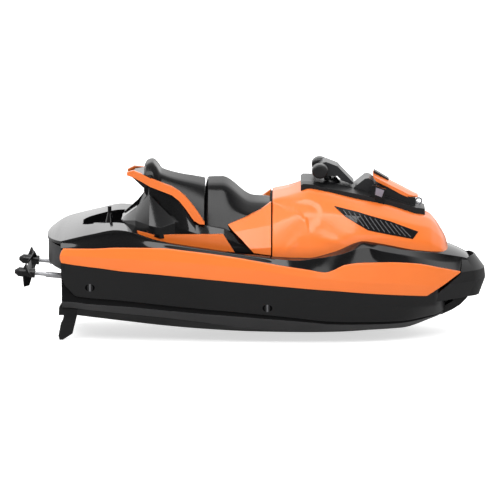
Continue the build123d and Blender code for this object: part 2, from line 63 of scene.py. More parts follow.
def grid_faces(rows, columns, start=0, wrap=False):
    """Quads of a rows by columns grid: corner (i, j) joins (i + 1, j), (i + 1, j + 1), (i, j + 1).
    With wrap, the last column joins the first."""
    index = np.arange(rows * columns).reshape(rows, columns) + start
    if wrap:
        index = np.concatenate([index, index[:, :1]], axis=1)
    return np.stack([index[:-1, :-1], index[1:, :-1], index[1:, 1:], index[:-1, 1:]],
                    axis=-1).reshape(-1, 4)


def plate(outer, inner):
    """A closed body from two grids of the same shape: the outer skin, the inner skin and a
    strip round the border that joins them."""
    rows, columns = outer.shape[:2]
    border = np.concatenate([np.stack([np.zeros(columns, int), np.arange(columns)], -1),
                             np.stack([np.arange(1, rows), np.full(rows - 1, columns - 1)], -1),
                             np.stack([np.full(columns - 1, rows - 1),
                                       np.arange(columns - 2, -1, -1)], -1),
                             np.stack([np.arange(rows - 2, 0, -1), np.zeros(rows - 2, int)], -1)])
    ring = border[:, 0] * columns + border[:, 1]
    after = np.roll(ring, -1)
    count = rows * columns
    strip = np.stack([ring, after, after + count, ring + count], -1)
    faces = np.concatenate([grid_faces(rows, columns), grid_faces(rows, columns, count)[:, ::-1],
                            strip])
    return np.concatenate([outer.reshape(-1, 3), inner.reshape(-1, 3)]), faces


def inboard(outer, thick):
    """A plate on the port side whose inner skin lies thick nearer the middle of the boat."""
    return plate(outer, outer - np.array([0, thick, 0]))


def tube(rings):
    """A closed body from a stack of closed rings, each end shut by a fan to the ring's middle."""
    rows, columns = rings.shape[:2]
    points = np.concatenate([rings.reshape(-1, 3), rings[0].mean(0)[None], rings[-1].mean(0)[None]])
    faces = grid_faces(rows, columns, wrap=True)
    around = np.arange(columns)
    nearby = (around + 1) % columns
    first = np.stack([around, nearby, np.full(columns, rows * columns)], -1)
    last = np.stack([nearby, around, np.full(columns, rows * columns + 1)], -1)
    last[:, :2] += (rows - 1) * columns
    return points, (faces, first, last)


def mirrored(body):
    """The same body on the other side of the boat."""
    points, faces = body
    return points * FLIP, faces


def both_sides(body):
    """A body and its mirror image, as a list."""
    return [body, mirrored(body)]


# %% [markdown]
# One object may hold several closed bodies, as a pair of side panels does. Points that meet are
# merged and faces are turned outwards, because mirroring turns a shape inside out. Faces are shaded
# smooth, and an edge that bends by more than a set angle stays sharp.

# %% Making a piece
weld, sliver = 1e-6, 1e-7  # metres: nearer points are one, shorter edges go


def piece(name, bodies, material, rides="boat", sharp=32):
    """One object from closed bodies given in millimetres, sharp where it bends past that angle."""
    points, faces, start = [], [], 0
    for body_points, body_faces in bodies:
        for group in body_faces if isinstance(body_faces, tuple) else (body_faces,):
            faces += (group + start).tolist()
        points.append(body_points)
        start += len(body_points)
    mesh = bpy.data.meshes.new(name)
    mesh.from_pydata((np.concatenate(points) * MM).tolist(), [], faces)
    shell = bmesh.new()
    shell.from_mesh(mesh)
    bmesh.ops.remove_doubles(shell, verts=shell.verts, dist=weld)
    bmesh.ops.dissolve_degenerate(shell, edges=shell.edges, dist=sliver)
    bmesh.ops.recalc_face_normals(shell, faces=shell.faces)
    shell.to_mesh(mesh)
    shell.free()
    mesh.polygons.foreach_set("use_smooth", np.ones(len(mesh.polygons), bool))
    mesh.set_sharp_from_angle(angle=math.radians(sharp))
    mesh.materials.append(material)
    made = bpy.data.objects.new(name, mesh)
    bpy.context.scene.collection.objects.link(made)
    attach(made, rides)
    print(name, len(mesh.polygons), "faces")
    return made


# %% [markdown]
# A boatbuilder draws a hull as a few lines and a table of half sections, and lets a thin batten find
# the curve between them. A spline would do that here, but it can swing past its points and leave a
# bump. The curve below never passes the higher or the lower of two neighbouring points.

# %% Curves through a table


def fair(stations, values, x):
    """Monotone cubic through values at stations, worked out at x. The slope at a station is the
    harmonic mean of the slopes on its two sides, or zero where those disagree in sign."""
    stations, values = np.asarray(stations, float), np.asarray(values, float)
    flat = values.reshape(len(stations), -1)
    span = np.diff(stations)[:, None]
    rise = np.diff(flat, axis=0) / span
    slope = np.zeros_like(flat)
    slope[0], slope[-1] = rise[0], rise[-1]
    same = rise[:-1] * rise[1:] > 0
    total = np.where(same, rise[:-1] + rise[1:], 1)
    slope[1:-1] = np.where(same, 2 * rise[:-1] * rise[1:] / total, 0)
    x = np.asarray(x, float)
    before = np.clip(np.searchsorted(stations, x) - 1, 0, len(stations) - 2)
    gap = span[before]
    t = np.clip((x - stations[before])[:, None] / gap, 0, 1)
    out = ((2 * t**3 - 3 * t**2 + 1) * flat[before] + (t**3 - 2 * t**2 + t) * gap * slope[before]
           + (3 * t**2 - 2 * t**3) * flat[before + 1] + (t**3 - t**2) * gap * slope[before + 1])
    return out.reshape((len(x),) + values.shape[1:])


def along(line, x):
    """Height at x of a fair curve through corners given as x, z."""
    line = np.array(line, float)
    return fair(line[:, 0], line[:, 1], x)


def straight(line, x):
    """Height at x of the straight sides between corners given as x, z."""
    return np.interp(x, *np.array(line, float).T)


def eased(count, edge):
    """Parameters from 0 to 1 with extra ones crowded against both ends, for a rounded edge."""
    near = edge * (np.arange(3) / 3) ** 1.5
    return np.concatenate([near, np.linspace(edge, 1 - edge, count), 1 - near[::-1]])


def rolled(t, edge):
    """How far a point at parameter t has rolled over a round edge: 1 at the end, 0 from edge in."""
    near = np.clip(1 - np.minimum(t, 1 - t) / edge, 0, 1)
    return 1 - np.sqrt(np.clip(1 - near**2, 0, 1))


def ramp(value, low, high):
    """0 below low, 1 above high, a straight ramp between."""
    return np.clip((value - low) / (high - low), 0, 1)


def soft_ramp(value, low, high):
    """As ramp, but it starts and ends level."""
    t = ramp(value, low, high)
    return t * t * (3 - 2 * t)


# %% [markdown]
# Hull and deck share one outer form, so that the mouldings meet without a step. Each row is a
# station and its corners from the chine, where the bottom meets the side, up to the deck's crest.
# The panels' two edges and the keel are lines in side view.

# %% The form of the hull and deck
form_rows = [  # x, then corners as y, z
    (-99, (30.5, 18.8), (36.0, 26.0), (38.4, 35), (41.0, 44.6), (42.2, 48.4), (41.0, 52.4), (39.2, 55.7)),
    (-97, (30.5, 18.8), (36.0, 26.0), (38.4, 35), (41.0, 44.6), (42.2, 48.4), (41.0, 52.4), (39.2, 55.7)),
    (-82, (31.4, 17.4), (37.0, 24.6), (39.4, 33), (42.1, 42.4), (43.3, 47.8), (42.1, 52.6), (40.1, 58.8)),
    (-66, (32.2, 15.9), (38.0, 23.6), (40.5, 32), (43.0, 40.4), (44.4, 47.0), (43.2, 53.0), (41.0, 61.4)),
    (-48, (32.8, 14.3), (38.7, 21.9), (41.1, 30), (43.7, 38.8), (44.9, 46.2), (43.8, 52.8), (41.9, 56.4)),
    (-25, (33.6, 11.7), (39.6, 19.7), (42.1, 28), (44.6, 36.5), (45.6, 44.7), (44.5, 50.5), (42.5, 52.2)),
    (2, (33.8, 8.4), (39.9, 17.3), (42.5, 26), (44.8, 34.0), (45.8, 42.0), (44.8, 46.8), (42.8, 48.4)),
    (30, (32.8, 6.9), (39.0, 14.2), (42.6, 24.6), (44.2, 31.3), (45.2, 37.8), (44.1, 43.2), (37.6, 45.6)),
    (44, (31.4, 6.9), (37.8, 12.6), (41.2, 23.4), (42.8, 30.0), (43.9, 36.2), (42.8, 43.6), (36.4, 48.4)),
    (58, (29.0, 6.6), (35.8, 12.0), (39.4, 22.0), (41.0, 28.5), (42.2, 34.6), (41.2, 44.8), (34.6, 54.6)),
    (80, (22.0, 6.6), (29.2, 11.4), (33.4, 19.9), (35.2, 26.4), (36.2, 32.2), (35.4, 43.6), (28.8, 50.0)),
    (98, (8.0, 9.6), (14.0, 11.8), (24.0, 19.0), (27.6, 24.8), (28.6, 30.0), (27.8, 40.0), (21.0, 47.0)),
    (112, (3.0, 14.5), (5.0, 16.0), (14.5, 20.8), (17.0, 25.0), (18.0, 29.0), (17.2, 35.4), (12.5, 43.5)),
    (118, (2.0, 18.0), (3.0, 19.0), (9.0, 21.5), (11.0, 25.0), (12.0, 29.0), (11.2, 34.4), (6.5, 39.5)),
]
form_x = [row[0] for row in form_rows]
form_corners = [row[1:] for row in form_rows]
keel_line = [(-99, 9.9), (-82, 7.8), (-66, 5.9), (-48, 3.8), (-25, 1.8), (2, 0.4), (30, 0.0),
             (44, 0.2), (58, 0.9), (70, 2.2), (80, 4.4), (91.5, 7.2), (104, 10.4)]
panel_low = [(-99.4, 44.9), (-97, 44.4), (-92, 43.4), (-76, 41.6), (-66.6, 40.3), (-40, 38.1),
             (0, 34.3), (22, 32.2), (45, 30), (66, 27.8), (91, 25.2), (93, 25.0), (111.4, 35.7),
             (118, 37)]
panel_high = [(-99, 52.2), (-82.6, 52.3), (-67.3, 53.1), (-46.7, 53.0), (-33.3, 51.7),
              (-6.8, 48.2), (16.7, 43.9), (30.7, 41.7), (39.8, 40.2), (43.5, 41.2), (50.2, 44.0),
              (58.6, 44.9), (72.6, 44.5), (87, 42.9), (101, 39.2), (111.4, 35.9), (118, 34)]
heights_averaged = 7
least_rise = 0.05  # keeps a level side of the section from dividing by zero
print("Form of", len(form_rows), "stations, from x", form_x[0], "to", form_x[-1], "mm")


def breadth(x, z, soften=0.7):
    """Half breadth of the form at stations x and heights z. The section climbs corner by corner,
    so the breadth is the sum of what each side has added by that height. The mean over heights
    within soften rounds the corners."""
    corners = fair(form_x, form_corners, x)
    total = 0
    for lift in np.linspace(-soften, soften, heights_averaged):
        part = corners[:, :1, 0] + np.zeros_like(z)
        for k in range(corners.shape[1] - 1):
            y0, z0 = corners[:, k:k + 1, 0], corners[:, k:k + 1, 1]
            y1, z1 = corners[:, k + 1:k + 2, 0], corners[:, k + 1:k + 2, 1]
            climbed = np.clip((z + lift - z0) / np.maximum(z1 - z0, least_rise), 0, 1)
            part = part + climbed * (y1 - y0)
        total = total + part
    return total / heights_averaged


def on_side(x, z):
    """Half breadth of the form at each point x, z of a grid."""
    return breadth(x.ravel(), z.ravel()[:, None])[:, 0].reshape(x.shape)


# %% [markdown]
# Nearly everything is moulded ABS. What tells the parts apart is how the mould was finished:
# polished where the deck mirrors the room, etched with a fine grain where the hull is dull, and
# lacquered where it is orange. Photographs of plastic could be wrapped round the parts, but one
# shader with two close tones and a fine grain stays sharp at any distance.

# %% The shader that all finishes share
edge_radius = 0.25 * MM  # bevelled normals round every hard edge by this much
grain_size, grain_depth = 0.35 * MM, 0.02 * MM
duller, glossier, coat_roughness = 1.15, 0.85, 0.08


def linear(colour):
    """An sRGB hex colour as the linear numbers a shader takes."""
    parts = [int(colour[k:k + 2], 16) / 255 for k in (1, 3, 5)]
    return [p / 12.92 if p <= 0.04045 else ((p + 0.055) / 1.055) ** 2.4 for p in parts] + [1]


def node(tree, kind, links=None, **settings):
    """Adds a shader node, sets its sockets and options by name, and joins its inputs."""
    made = tree.nodes.new(kind)
    for key, value in settings.items():
        if key in made.inputs:
            made.inputs[key].default_value = value
        else:
            setattr(made, key, value)
    for key, source in (links or {}).items():
        tree.links.new(source, made.inputs[key])
    return made


def finish(name, colour, darker, roughness, drift_mm, grain, metallic=0.0, coat=0.0, shine=0.5):
    """A moulded or metal finish. Two close tones and the roughness drift together over drift_mm,
    and the bump of the grain is laid over the bevelled normal."""
    material = bpy.data.materials.new(name)
    material.use_nodes = True
    tree = material.node_tree
    tree.nodes.clear()
    place = node(tree, "ShaderNodeTexCoord").outputs["Object"]
    drift = node(tree, "ShaderNodeTexNoise", {"Vector": place}, Scale=1 / (drift_mm * MM),
                 Detail=2.0)
    specks = node(tree, "ShaderNodeTexNoise", {"Vector": place}, Scale=1 / grain_size, Detail=1.0)
    tone = node(tree, "ShaderNodeMix", {"Factor": drift.outputs["Fac"]}, data_type="RGBA")
    tone.inputs[6].default_value, tone.inputs[7].default_value = linear(colour), linear(darker)
    gloss = node(tree, "ShaderNodeMapRange", {"Value": drift.outputs["Fac"]})
    gloss.inputs["To Min"].default_value = roughness * glossier
    gloss.inputs["To Max"].default_value = roughness * duller
    edge = node(tree, "ShaderNodeBevel", Radius=edge_radius, samples=4)
    bump = node(tree, "ShaderNodeBump", {"Height": specks.outputs["Fac"],
                                         "Normal": edge.outputs["Normal"]},
                Strength=grain, Distance=grain_depth)
    shader = node(tree, "ShaderNodeBsdfPrincipled",
                  {"Base Color": tone.outputs[2], "Roughness": gloss.outputs["Result"],
                   "Normal": bump.outputs["Normal"]}, Metallic=metallic)
    shader.inputs["Coat Weight"].default_value = coat
    shader.inputs["Specular IOR Level"].default_value = shine
    shader.inputs["Coat Roughness"].default_value = coat_roughness
    node(tree, "ShaderNodeOutputMaterial", {"Surface": shader.outputs["BSDF"]})
    return material


# %% [markdown]
# A finish is a material and how its surface was made, but a few stand for light instead: a painted
# reflection, a painted highlight and painted shade. All of them keep Blender's own index of refraction,
# 1.5, and differ in how metallic and rough they are, and in grain and shine. The drift is about as long
# as the parts, so that no pattern shows, only a surface that isn't quite even.

# %% Finishes
# Moulded against polished steel, so it mirrors the lamps and the room sharply
gloss_black = finish("polished black ABS", "#101011", "#0c0c0d", 0.09, 30, 0.04)
# Moulded against an etched face, whose grain spreads reflections into a dull glow
grained_black = finish("grained black ABS", "#1b1b1c", "#161617", 0.36, 25, 0.3)
# A shallower grain in a greyer plastic, which looks soft and dry
satin_grey = finish("satin dark grey ABS", "#2b2b2d", "#242426", 0.30, 25, 0.2)
# Sprayed colour under a thin clear coat, bright with a broad soft highlight
orange = finish("orange lacquered ABS", "#fb8135", "#fa7a2e", 0.30, 40, 0.1, coat=0.2)
# Drawn rod, partly dulled, so that it stays pale grey against a white room
steel = finish("drawn steel rod", "#b9b9bc", "#a8a8ab", 0.32, 6, 0.2, metallic=0.35)
# Plated wire, a small clear mirror
chrome = finish("chromed steel wire", "#d6d6da", "#c6c6cc", 0.10, 6, 0.02, metallic=1.0)
# Moulded nylon, a little waxy
screw_black = finish("moulded black nylon", "#161617", "#111112", 0.35, 10, 0.2)
# Coarsely etched, so the underside hardly reflects at all
bottom_black = finish("matt black ABS", "#141415", "#101011", 0.6, 25, 0.3, shine=0.12)
# The same plastic painted a shade paler: a painted reflection of the bright floor in the facet above the
# chine
floor_reflection_grey = finish("painted floor reflection black ABS", "#363637", "#2d2d2e", 0.4, 25, 0.3)
# Semi-gloss, with dim reflections that only show the seats' larger folds
seat_black = finish("semi-gloss black ABS", "#111112", "#0d0d0e", 0.17, 12, 0.25, shine=0.3)
# Paler than the grille behind it: a painted highlight where the raised louvres and the plugs' bars catch
# the light, so that thin louvres can be told apart
highlight_grey = finish("painted highlight grey ABS", "#6a6a6d", "#5e5e61", 0.4, 10, 0.2)
# Smooth and pale: a painted reflection, standing for a mirror that sees an evenly lit room
lens = finish("painted reflection grey acrylic", "#8d8893", "#7f7a85", 0.12, 10, 0.02)
# Painted shade: nearly black with nearly no shine, as in a gap or slot that little light reaches
shade_black = finish("painted shade black ABS", "#070708", "#050506", 0.6, 10, 0.1, shine=0.05)

# %% Finishes of the CAD's own nodes
cad_finishes = [
    (gloss_black, ["deck", "mirrors", "rear_quarters", "seat_base", "seat_rear", "seat_front",
                   "grab_rail", "latch"]),
    (grained_black, ["hull", "fins", "bow_bumper", "vents", "console", "steering_boot", "grips",
                     "hood_spine"]),
    (satin_grey, ["stern_band", "gauge_pod", "handlebar"]),
    (orange, ["side_panels", "cowl", "hood_lid", "knee_panels", "wings", "footwell_strips"]),
    (chrome, ["tow_ring"]),
    (steel, ["shaft_tubes", "prop_shaft_starboard", "prop_shaft_port"]),
    (screw_black, ["propeller_starboard", "propeller_port"]),
]
for material, names in cad_finishes:
    for name in names:
        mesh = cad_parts[name].data
        mesh.materials.clear()
        mesh.materials.append(material)
    print(material.name, "on", len(names), "nodes")

# %% [markdown]
# The hull's bottom has a narrow flat keel, a vee up to the chine, a sloping facet above that and a
# wall tucked in behind the skirt. Those are flat sides with plain corners, so the section is drawn
# as straight lines between corners at every station, and the stations are joined into one tube.

# %% Hull bottom and chines
per_side = 6  # points along each straight side
keel_half, tuck, band_inset = 3.0, 1.4, 2.4
least_tuck, least_wall, wall_over = 0.4, 0.3, 1
facet_out, facet_thick = 0.12, 0.5
step_line = [(-98, 3.4), (-43, 3.0), (5, 2.4), (37, 1.6), (90, 1.0), (104, 0.4)]
hull_x = np.concatenate([np.linspace(-98.4, 90, 120), np.linspace(90.8, 102.9, 26)])
keel_z = along(keel_line, hull_x)
hull_corners = fair(form_x, form_corners, hull_x)
chine_y, chine_z = hull_corners[:, 0, 0], hull_corners[:, 0, 1]
knuckle_y, knuckle_z = hull_corners[:, 1, 0], hull_corners[:, 1, 1]
band_y, band_z = hull_corners[:, 3, 0], hull_corners[:, 3, 1]


def section_line(points):
    """Points along straight sides between corners, for every station at once."""
    rows = []
    for a, b in zip(points[:-1], points[1:]):
        t = np.linspace(0, 1, per_side, endpoint=False)[None, :, None]
        rows.append(a[:, None] * (1 - t) + b[:, None] * t)
    return np.concatenate(rows + [points[-1][:, None]], axis=1)


def corner(y, z):
    """One corner of the section at every hull station."""
    return np.stack([np.broadcast_to(y, hull_x.shape), np.broadcast_to(z, hull_x.shape)], -1)


def closing(x, start, length, least):
    """Share of the breadth left near the bow: a quarter circle from 1 at start to nearly 0."""
    return np.sqrt(np.clip(1 - ((np.maximum(x, start) - start) / length) ** 2, least, 1))[:, None]


tuck_y = np.maximum(knuckle_y - tuck, chine_y + least_tuck)
wall_z = np.maximum(knuckle_z - straight(step_line, hull_x), chine_z + least_wall)
under = section_line([corner(0.0, keel_z), corner(keel_half, keel_z), corner(chine_y, chine_z),
                      corner(tuck_y, wall_z), corner(tuck_y, knuckle_z + wall_over),
                      corner(band_y - band_inset, band_z)])
under[..., 0] *= closing(hull_x, 96, 7, 0.0009)
hull_half = surface(hull_x[:, None], under[..., 0], under[..., 1])
hull_rings = np.concatenate([hull_half[:, ::-1], hull_half[:, 1:] * FLIP], axis=1)
hull_bottom = piece("hull_bottom", [tube(hull_rings)], bottom_black)
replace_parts(hull_bottom, "hull")
# The facet above the chine again, a hair proud, painted paler as a reflection of the floor
facing_out = np.array([0, 1, -1])
facet = hull_half[:, 2 * per_side:3 * per_side + 1] + facet_out * facing_out
chine_reflection_plate = plate(facet, facet - facet_thick * facing_out)
piece("hull_chine_reflections", both_sides(chine_reflection_plate), floor_reflection_grey)

# %% [markdown]
# Above the bottom the real hull flares into a smooth skirt whose lower edge casts a shadow. It is
# made as its own plate that follows the form, so the edge can roll in and stand off the wall behind.

# %% Hull skirt
skirt_inset, skirt_roll, skirt_edge, skirt_thick = 0.1, 0.7, 0.03, 2.2
skirt_lap, least_skirt = 0.6, 0.5  # how far it runs up behind the panel, and its least height
skirt_line = [(-98.5, 38.5), (-97.6, 34.5), (-96.6, 32.0), (-94.3, 29.2), (-90.5, 25.6),
              (-67.7, 23.7), (-41.5, 21.1), (-4.9, 17.8), (21, 15.2), (44, 12.6), (65, 11.8),
              (80, 11.4), (98, 11.8), (104, 13.4)]
skirt_x = np.concatenate([np.linspace(-98.4, -86, 22), np.linspace(-85, 95, 110),
                          np.linspace(95.6, 103.6, 26)])
skirt_low = along(skirt_line, skirt_x)
skirt_high = np.maximum(straight(panel_low, skirt_x) + skirt_lap, skirt_low + least_skirt)
up_skirt = eased(26, skirt_edge)[None]
skirt_z = skirt_low[:, None] * (1 - up_skirt) + skirt_high[:, None] * up_skirt
skirt_y = breadth(skirt_x, skirt_z) - skirt_inset - skirt_roll * rolled(up_skirt, skirt_edge)
skirt_y *= closing(skirt_x, 97, 6.8, 0.002)
skirt = surface(skirt_x[:, None], skirt_y, skirt_z)
skirt_in = surface(skirt_x[:, None], skirt_y - np.minimum(skirt_thick, skirt_y * 0.4), skirt_z)
piece("hull_skirt", both_sides(plate(skirt, skirt_in)), grained_black)

# %% [markdown]
# The stem ends in a thin fin with a slanting slot. A boolean could cut the slot, but it leaves
# untidy faces. Here the outline and the slot are both drawn as loops of the same number of points
# round one centre, and the faces between the loops make the two sides and the two edges.

# %% Stem fin
fin_half, fin_foot, fin_taper = 2.4, 9.5, 9  # half thickness, and where it thins towards the foot
stem_outline = [(100.8, 9.5), (101.6, 9.3), (107.5, 12.1), (111.7, 14.9), (115.2, 18.6), (117, 22),
                (112, 24), (103, 22), (101.5, 16), (102.2, 12.0)]
slot_middle = np.array([105.2, 16.4])
slot_length, slot_width, slot_tilt = 6.0, 1.7, math.radians(33)
loop_count = 72


def outline_reach(ray, outline, centre):
    """How far each ray from the centre goes before it meets the outline's nearest side."""
    loop = np.array(outline + outline[:1]) - centre
    start = loop[:-1][None]
    side = loop[1:][None] - start
    cross = ray[:, None, 0] * side[..., 1] - ray[:, None, 1] * side[..., 0]
    cross = np.where(cross == 0, 1e-9, cross)
    reach = (start[..., 0] * side[..., 1] - start[..., 1] * side[..., 0]) / cross
    share = (start[..., 0] * ray[:, None, 1] - start[..., 1] * ray[:, None, 0]) / cross
    meets = (reach > 0) & (share >= -1e-6) & (share <= 1 + 1e-6)
    return np.where(meets, reach, 1e6).min(axis=1)


turn = np.linspace(0, 2 * np.pi, loop_count, endpoint=False)
rays = np.stack([np.cos(turn), np.sin(turn)], -1)
fin_loop = rays * outline_reach(rays, stem_outline, slot_middle)[:, None]
tilt = np.array([[math.cos(slot_tilt), math.sin(slot_tilt)],
                 [-math.sin(slot_tilt), math.cos(slot_tilt)]])
slot_loop = rays * slot_width / 2
slot_loop[:, 0] += np.sign(np.round(np.cos(turn), 6)) * (slot_length - slot_width) / 2
slot_loop = slot_loop @ tilt
slot_loop = slot_loop[np.argsort(np.mod(np.arctan2(slot_loop[:, 1], slot_loop[:, 0]), 2 * np.pi))]
fin_rings = []
for loop, lift in ((slot_loop, 1), (fin_loop, 1), (fin_loop, -1), (slot_loop, -1)):
    side_view = loop + slot_middle
    thick = fin_half * (0.4 + 0.6 * np.clip((side_view[:, 1] - fin_foot) / fin_taper, 0, 1))
    fin_rings.append(np.stack([side_view[:, 0], lift * thick, side_view[:, 1]], -1))
fin_faces = grid_faces(5, loop_count, wrap=True) % (4 * loop_count)
piece("stem_fin", [(np.array(fin_rings).reshape(-1, 3), fin_faces)], grained_black)
# A dark plate across the middle of the slot is painted shade inside it
slot_shade_x, slot_shade_z = np.meshgrid(np.linspace(102.4, 108.4, 4), np.linspace(13.9, 19.4, 4),
                                   indexing="ij")
slot_shade_plate = surface(slot_shade_x, 0.3, slot_shade_z)
piece("stem_slot_shade", [plate(slot_shade_plate, slot_shade_plate * FLIP)], shade_black)

# %% [markdown]
# Two small round plugs sit in each side of the hull. At this size a plug shows as two dark crescents with
# a pale bar between them, so that is what is drawn, a hair proud of the skirt: the crescents are painted
# shade in the plug's rim, and the bar is a painted highlight.

# %% Hull plugs
plug_places, plug_radius, crescent_wide, bar_half = ((-83.4, 30.8), (9.4, 20.5)), 2.0, 1.15, 0.45
crescents, bars = [], []
for x, z in plug_places:
    for facing in (0, math.pi):
        swing = np.linspace(-1.0, 1.0, 15)
        thick = crescent_wide * np.cos(swing * math.pi / 2.1)[:, None] * np.array([0.5, -0.5])[None]
        crescent_x = x + np.cos(swing + facing)[:, None] * (plug_radius + thick)
        crescent_z = z + np.sin(swing + facing)[:, None] * (plug_radius + thick)
        crescent = surface(crescent_x, on_side(crescent_x, crescent_z), crescent_z)
        crescents += both_sides(inboard(crescent, 0.4))
    bar_x, bar_z = np.meshgrid([x - bar_half, x + bar_half],
                               z + np.linspace(-plug_radius, plug_radius, 6), indexing="ij")
    bars += both_sides(inboard(surface(bar_x, on_side(bar_x, bar_z) + 0.02, bar_z), 0.5))
# Painted shade in the crescents, and a painted highlight in the bars
piece("hull_plug_shade", crescents, shade_black)
piece("hull_plug_highlights", bars, highlight_grey)

# %% [markdown]
# The orange side panels are separate mouldings clipped to the hull. A ridge runs along them, and
# their edges roll in, which leaves the thin dark shut line round them. They lie on the same form as
# the hull, a little proud of it, so one height parameter from edge to edge draws both.

# %% Side panels
panel_end, panel_proud, panel_roll, panel_edge, panel_thick = -97.2, 0.35, 0.6, 0.035, 1.4
lean_most, lean_from, lean_over = 1.7, -88, 9
panel_x = np.concatenate([[panel_end, -97.1, -96.9, -96.5], np.linspace(-95.8, 90, 130),
                          np.linspace(91, 110.9, 24)])
up_panel = eased(22, panel_edge)[None]
low, high = straight(panel_low, panel_x)[:, None], along(panel_high, panel_x)[:, None]
panel_z = low + (high - low) * up_panel
end_roll = rolled(np.clip((panel_x - panel_end) / 200, 0, 0.5), 0.004)[:, None]
roll = panel_roll * np.maximum(rolled(up_panel, panel_edge), end_roll)
panel_y = breadth(panel_x, panel_z, 0.25) + panel_proud - roll
# The stern end leans back, most at mid height
leaning = np.clip((lean_from - panel_x) / lean_over, 0, 1)[:, None] ** 2
lean = lean_most * leaning * np.sin(np.pi * (0.2 + 0.8 * up_panel))
panel = surface(panel_x[:, None] - lean, panel_y, panel_z)
side_panel_skins = piece("side_panel_skins", both_sides(inboard(panel, panel_thick)), orange)
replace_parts(side_panel_skins, "side_panels")

# %% [markdown]
# The deck is one glossy moulding, crowned across the boat like a real deck so that water runs off.
# Its top is worked out as a height over the plan. The grid's lines are bent to run along the stern
# recess, because a straight grid would leave steps where its wall drops.

# %% Deck top
rim_rows = [  # x, then half breadth and height of the crest, and height on the middle line
    (-107.4, 1, 53.5, 53.5), (-107.1, 7, 53.6, 53.7), (-106.5, 12.4, 53.8, 54.0),
    (-105.5, 18, 54.0, 54.3), (-104, 24.4, 54.4, 54.8), (-102, 30.8, 54.9, 55.4),
    (-100, 35.6, 55.3, 55.8), (-98.4, 38.4, 55.6, 56.2), (-97, 39.3, 56.0, 56.6),
    (-82, 40.1, 59.6, 60.6), (-69.5, 40.9, 61.9, 62.2), (-66, 41, 61.7, 62.0),
    (-48, 41.9, 56.2, 57.5), (-25, 42.5, 52.4, 54), (2, 42.8, 48.6, 52), (30, 38.5, 46.2, 50),
    (44, 37.2, 49.2, 53), (56.5, 34.6, 54.3, 57), (59, 34.3, 54.7, 57), (66.5, 32.9, 53.4, 56.4),
    (85.5, 26.8, 48.8, 53.0), (98, 21.0, 46.4, 49.5), (107, 16.4, 44.2, 46.4),
    (113.2, 12.2, 42.4, 43.6), (116.5, 8, 40.6, 41.4), (118.3, 0.8, 39.1, 39.3),
]
recess_line = [(-107.4, 0.5), (-98, 14), (-89.4, 6.5), (-88.4, 7), (-86, 11), (-80, 15), (-74, 18),
               (-66, 20.5), (-62, 20.5), (-40, 20.5)]
recess_floor, recess_aft, recess_fore = 56.0, (-88.6, -87.8), (-64.5, -63.6)
well_floor, well_fall, well_rim = 42.6, 0.085, 2.4
well_inner, well_aft, well_fore = (30.6, 31.4), (-59, -50), (24, 27)
deck_x = np.concatenate([np.linspace(-107.4, -98.6, 40), np.linspace(-98.4, -60, 90),
                         np.linspace(-59.5, 30, 150), np.linspace(31, 118.2, 90)])
station = deck_x[:, None]
rim = fair([row[0] for row in rim_rows], [row[1:] for row in rim_rows], deck_x)
crest_y, crest_z, centre_z = rim[:, 0:1], rim[:, 1:2], rim[:, 2:3]
# Parameter across the deck: half way out lies on the recess's wall, with rows crowded there
across = np.concatenate([np.linspace(-1, -0.7, 40), np.linspace(-0.69, -0.53, 14), [-0.515, -0.5],
                         np.linspace(-0.48, 0.48, 45), [0.5, 0.515], np.linspace(0.53, 0.69, 14),
                         np.linspace(0.7, 1, 40)])[None]
recess_half = np.minimum(straight(recess_line, deck_x)[:, None], crest_y * 0.5)
outside = np.clip(np.abs(across) - 0.5, 0, 1) * 2
deck_y = np.sign(across) * (recess_half * np.minimum(np.abs(across), 0.5) * 2
                            + (crest_y - recess_half) * outside)
deck_z = crest_z + (centre_z - crest_z) * (1 - (deck_y / crest_y)**2)
footwell = (ramp(np.abs(deck_y), *well_inner) * ramp(crest_y - well_rim - np.abs(deck_y), 0, 1)
            * ramp(station, *well_aft) * (1 - ramp(station, *well_fore)))
footwell_z = well_floor - well_fall * station
deck_z = deck_z + footwell * (np.minimum(footwell_z, deck_z) - deck_z)
recess = ((np.abs(across) < 0.505) * ramp(station, *recess_aft)
          * (1 - ramp(station, *recess_fore)))
deck_z = deck_z - recess * (deck_z - recess_floor)
deck_top = surface(station, deck_y, deck_z)

# %% [markdown]
# From the panels the deck's flank climbs to the crest. Beside the cowl it first meets a ledge, so
# the flank is blended: curved into the crest aft, and straight up to a shoulder and then in along
# the ledge forward. Two bodies would need a boolean to join, so flank and top are one ring of
# points at each station.

# %% Deck flank
shoulder_rows = [  # x, then half breadth and height of the ledge's outer edge
    (-48, 41.9, 56.2), (-25, 42.5, 52.4), (2, 43.2, 48.6), (24.5, 43.0, 46.4), (37, 42.2, 47.6),
    (47.4, 41.0, 49.2), (57, 39.8, 52.0), (60.6, 39.3, 52.3), (70, 36.4, 49.9), (80, 33.2, 47.6),
    (90, 28.2, 44.9), (103, 20.0, 41.5), (110, 14.6, 40.6), (113, 12.4, 42.3),
]
flank_aft, flank_fore = -98.5, 111.4  # between these the flank lies on the hull's form
under_panel, aft_lip, fore_lip, least_flank = 0.8, 1.5, 3, 0.4
shoulder = fair([row[0] for row in shoulder_rows], [row[1:] for row in shoulder_rows], deck_x)
ledge = ramp(deck_x, 2, 14)[:, None] * (1 - ramp(deck_x, 109, 112.5))[:, None]
shoulder_y = crest_y + (shoulder[:, :1] - crest_y) * ledge
shoulder_z = crest_z + (shoulder[:, 1:] - crest_z) * ledge
beside_panel = np.minimum(along(panel_high, deck_x)[:, None], crest_z) - under_panel
edge_z = np.where(station < flank_fore, beside_panel, crest_z - fore_lip)
edge_z = np.where(station < flank_aft, crest_z - aft_lip, edge_z)
edge_z = np.minimum(edge_z, shoulder_z - least_flank)
climb = np.linspace(0, 1, 12)[None]
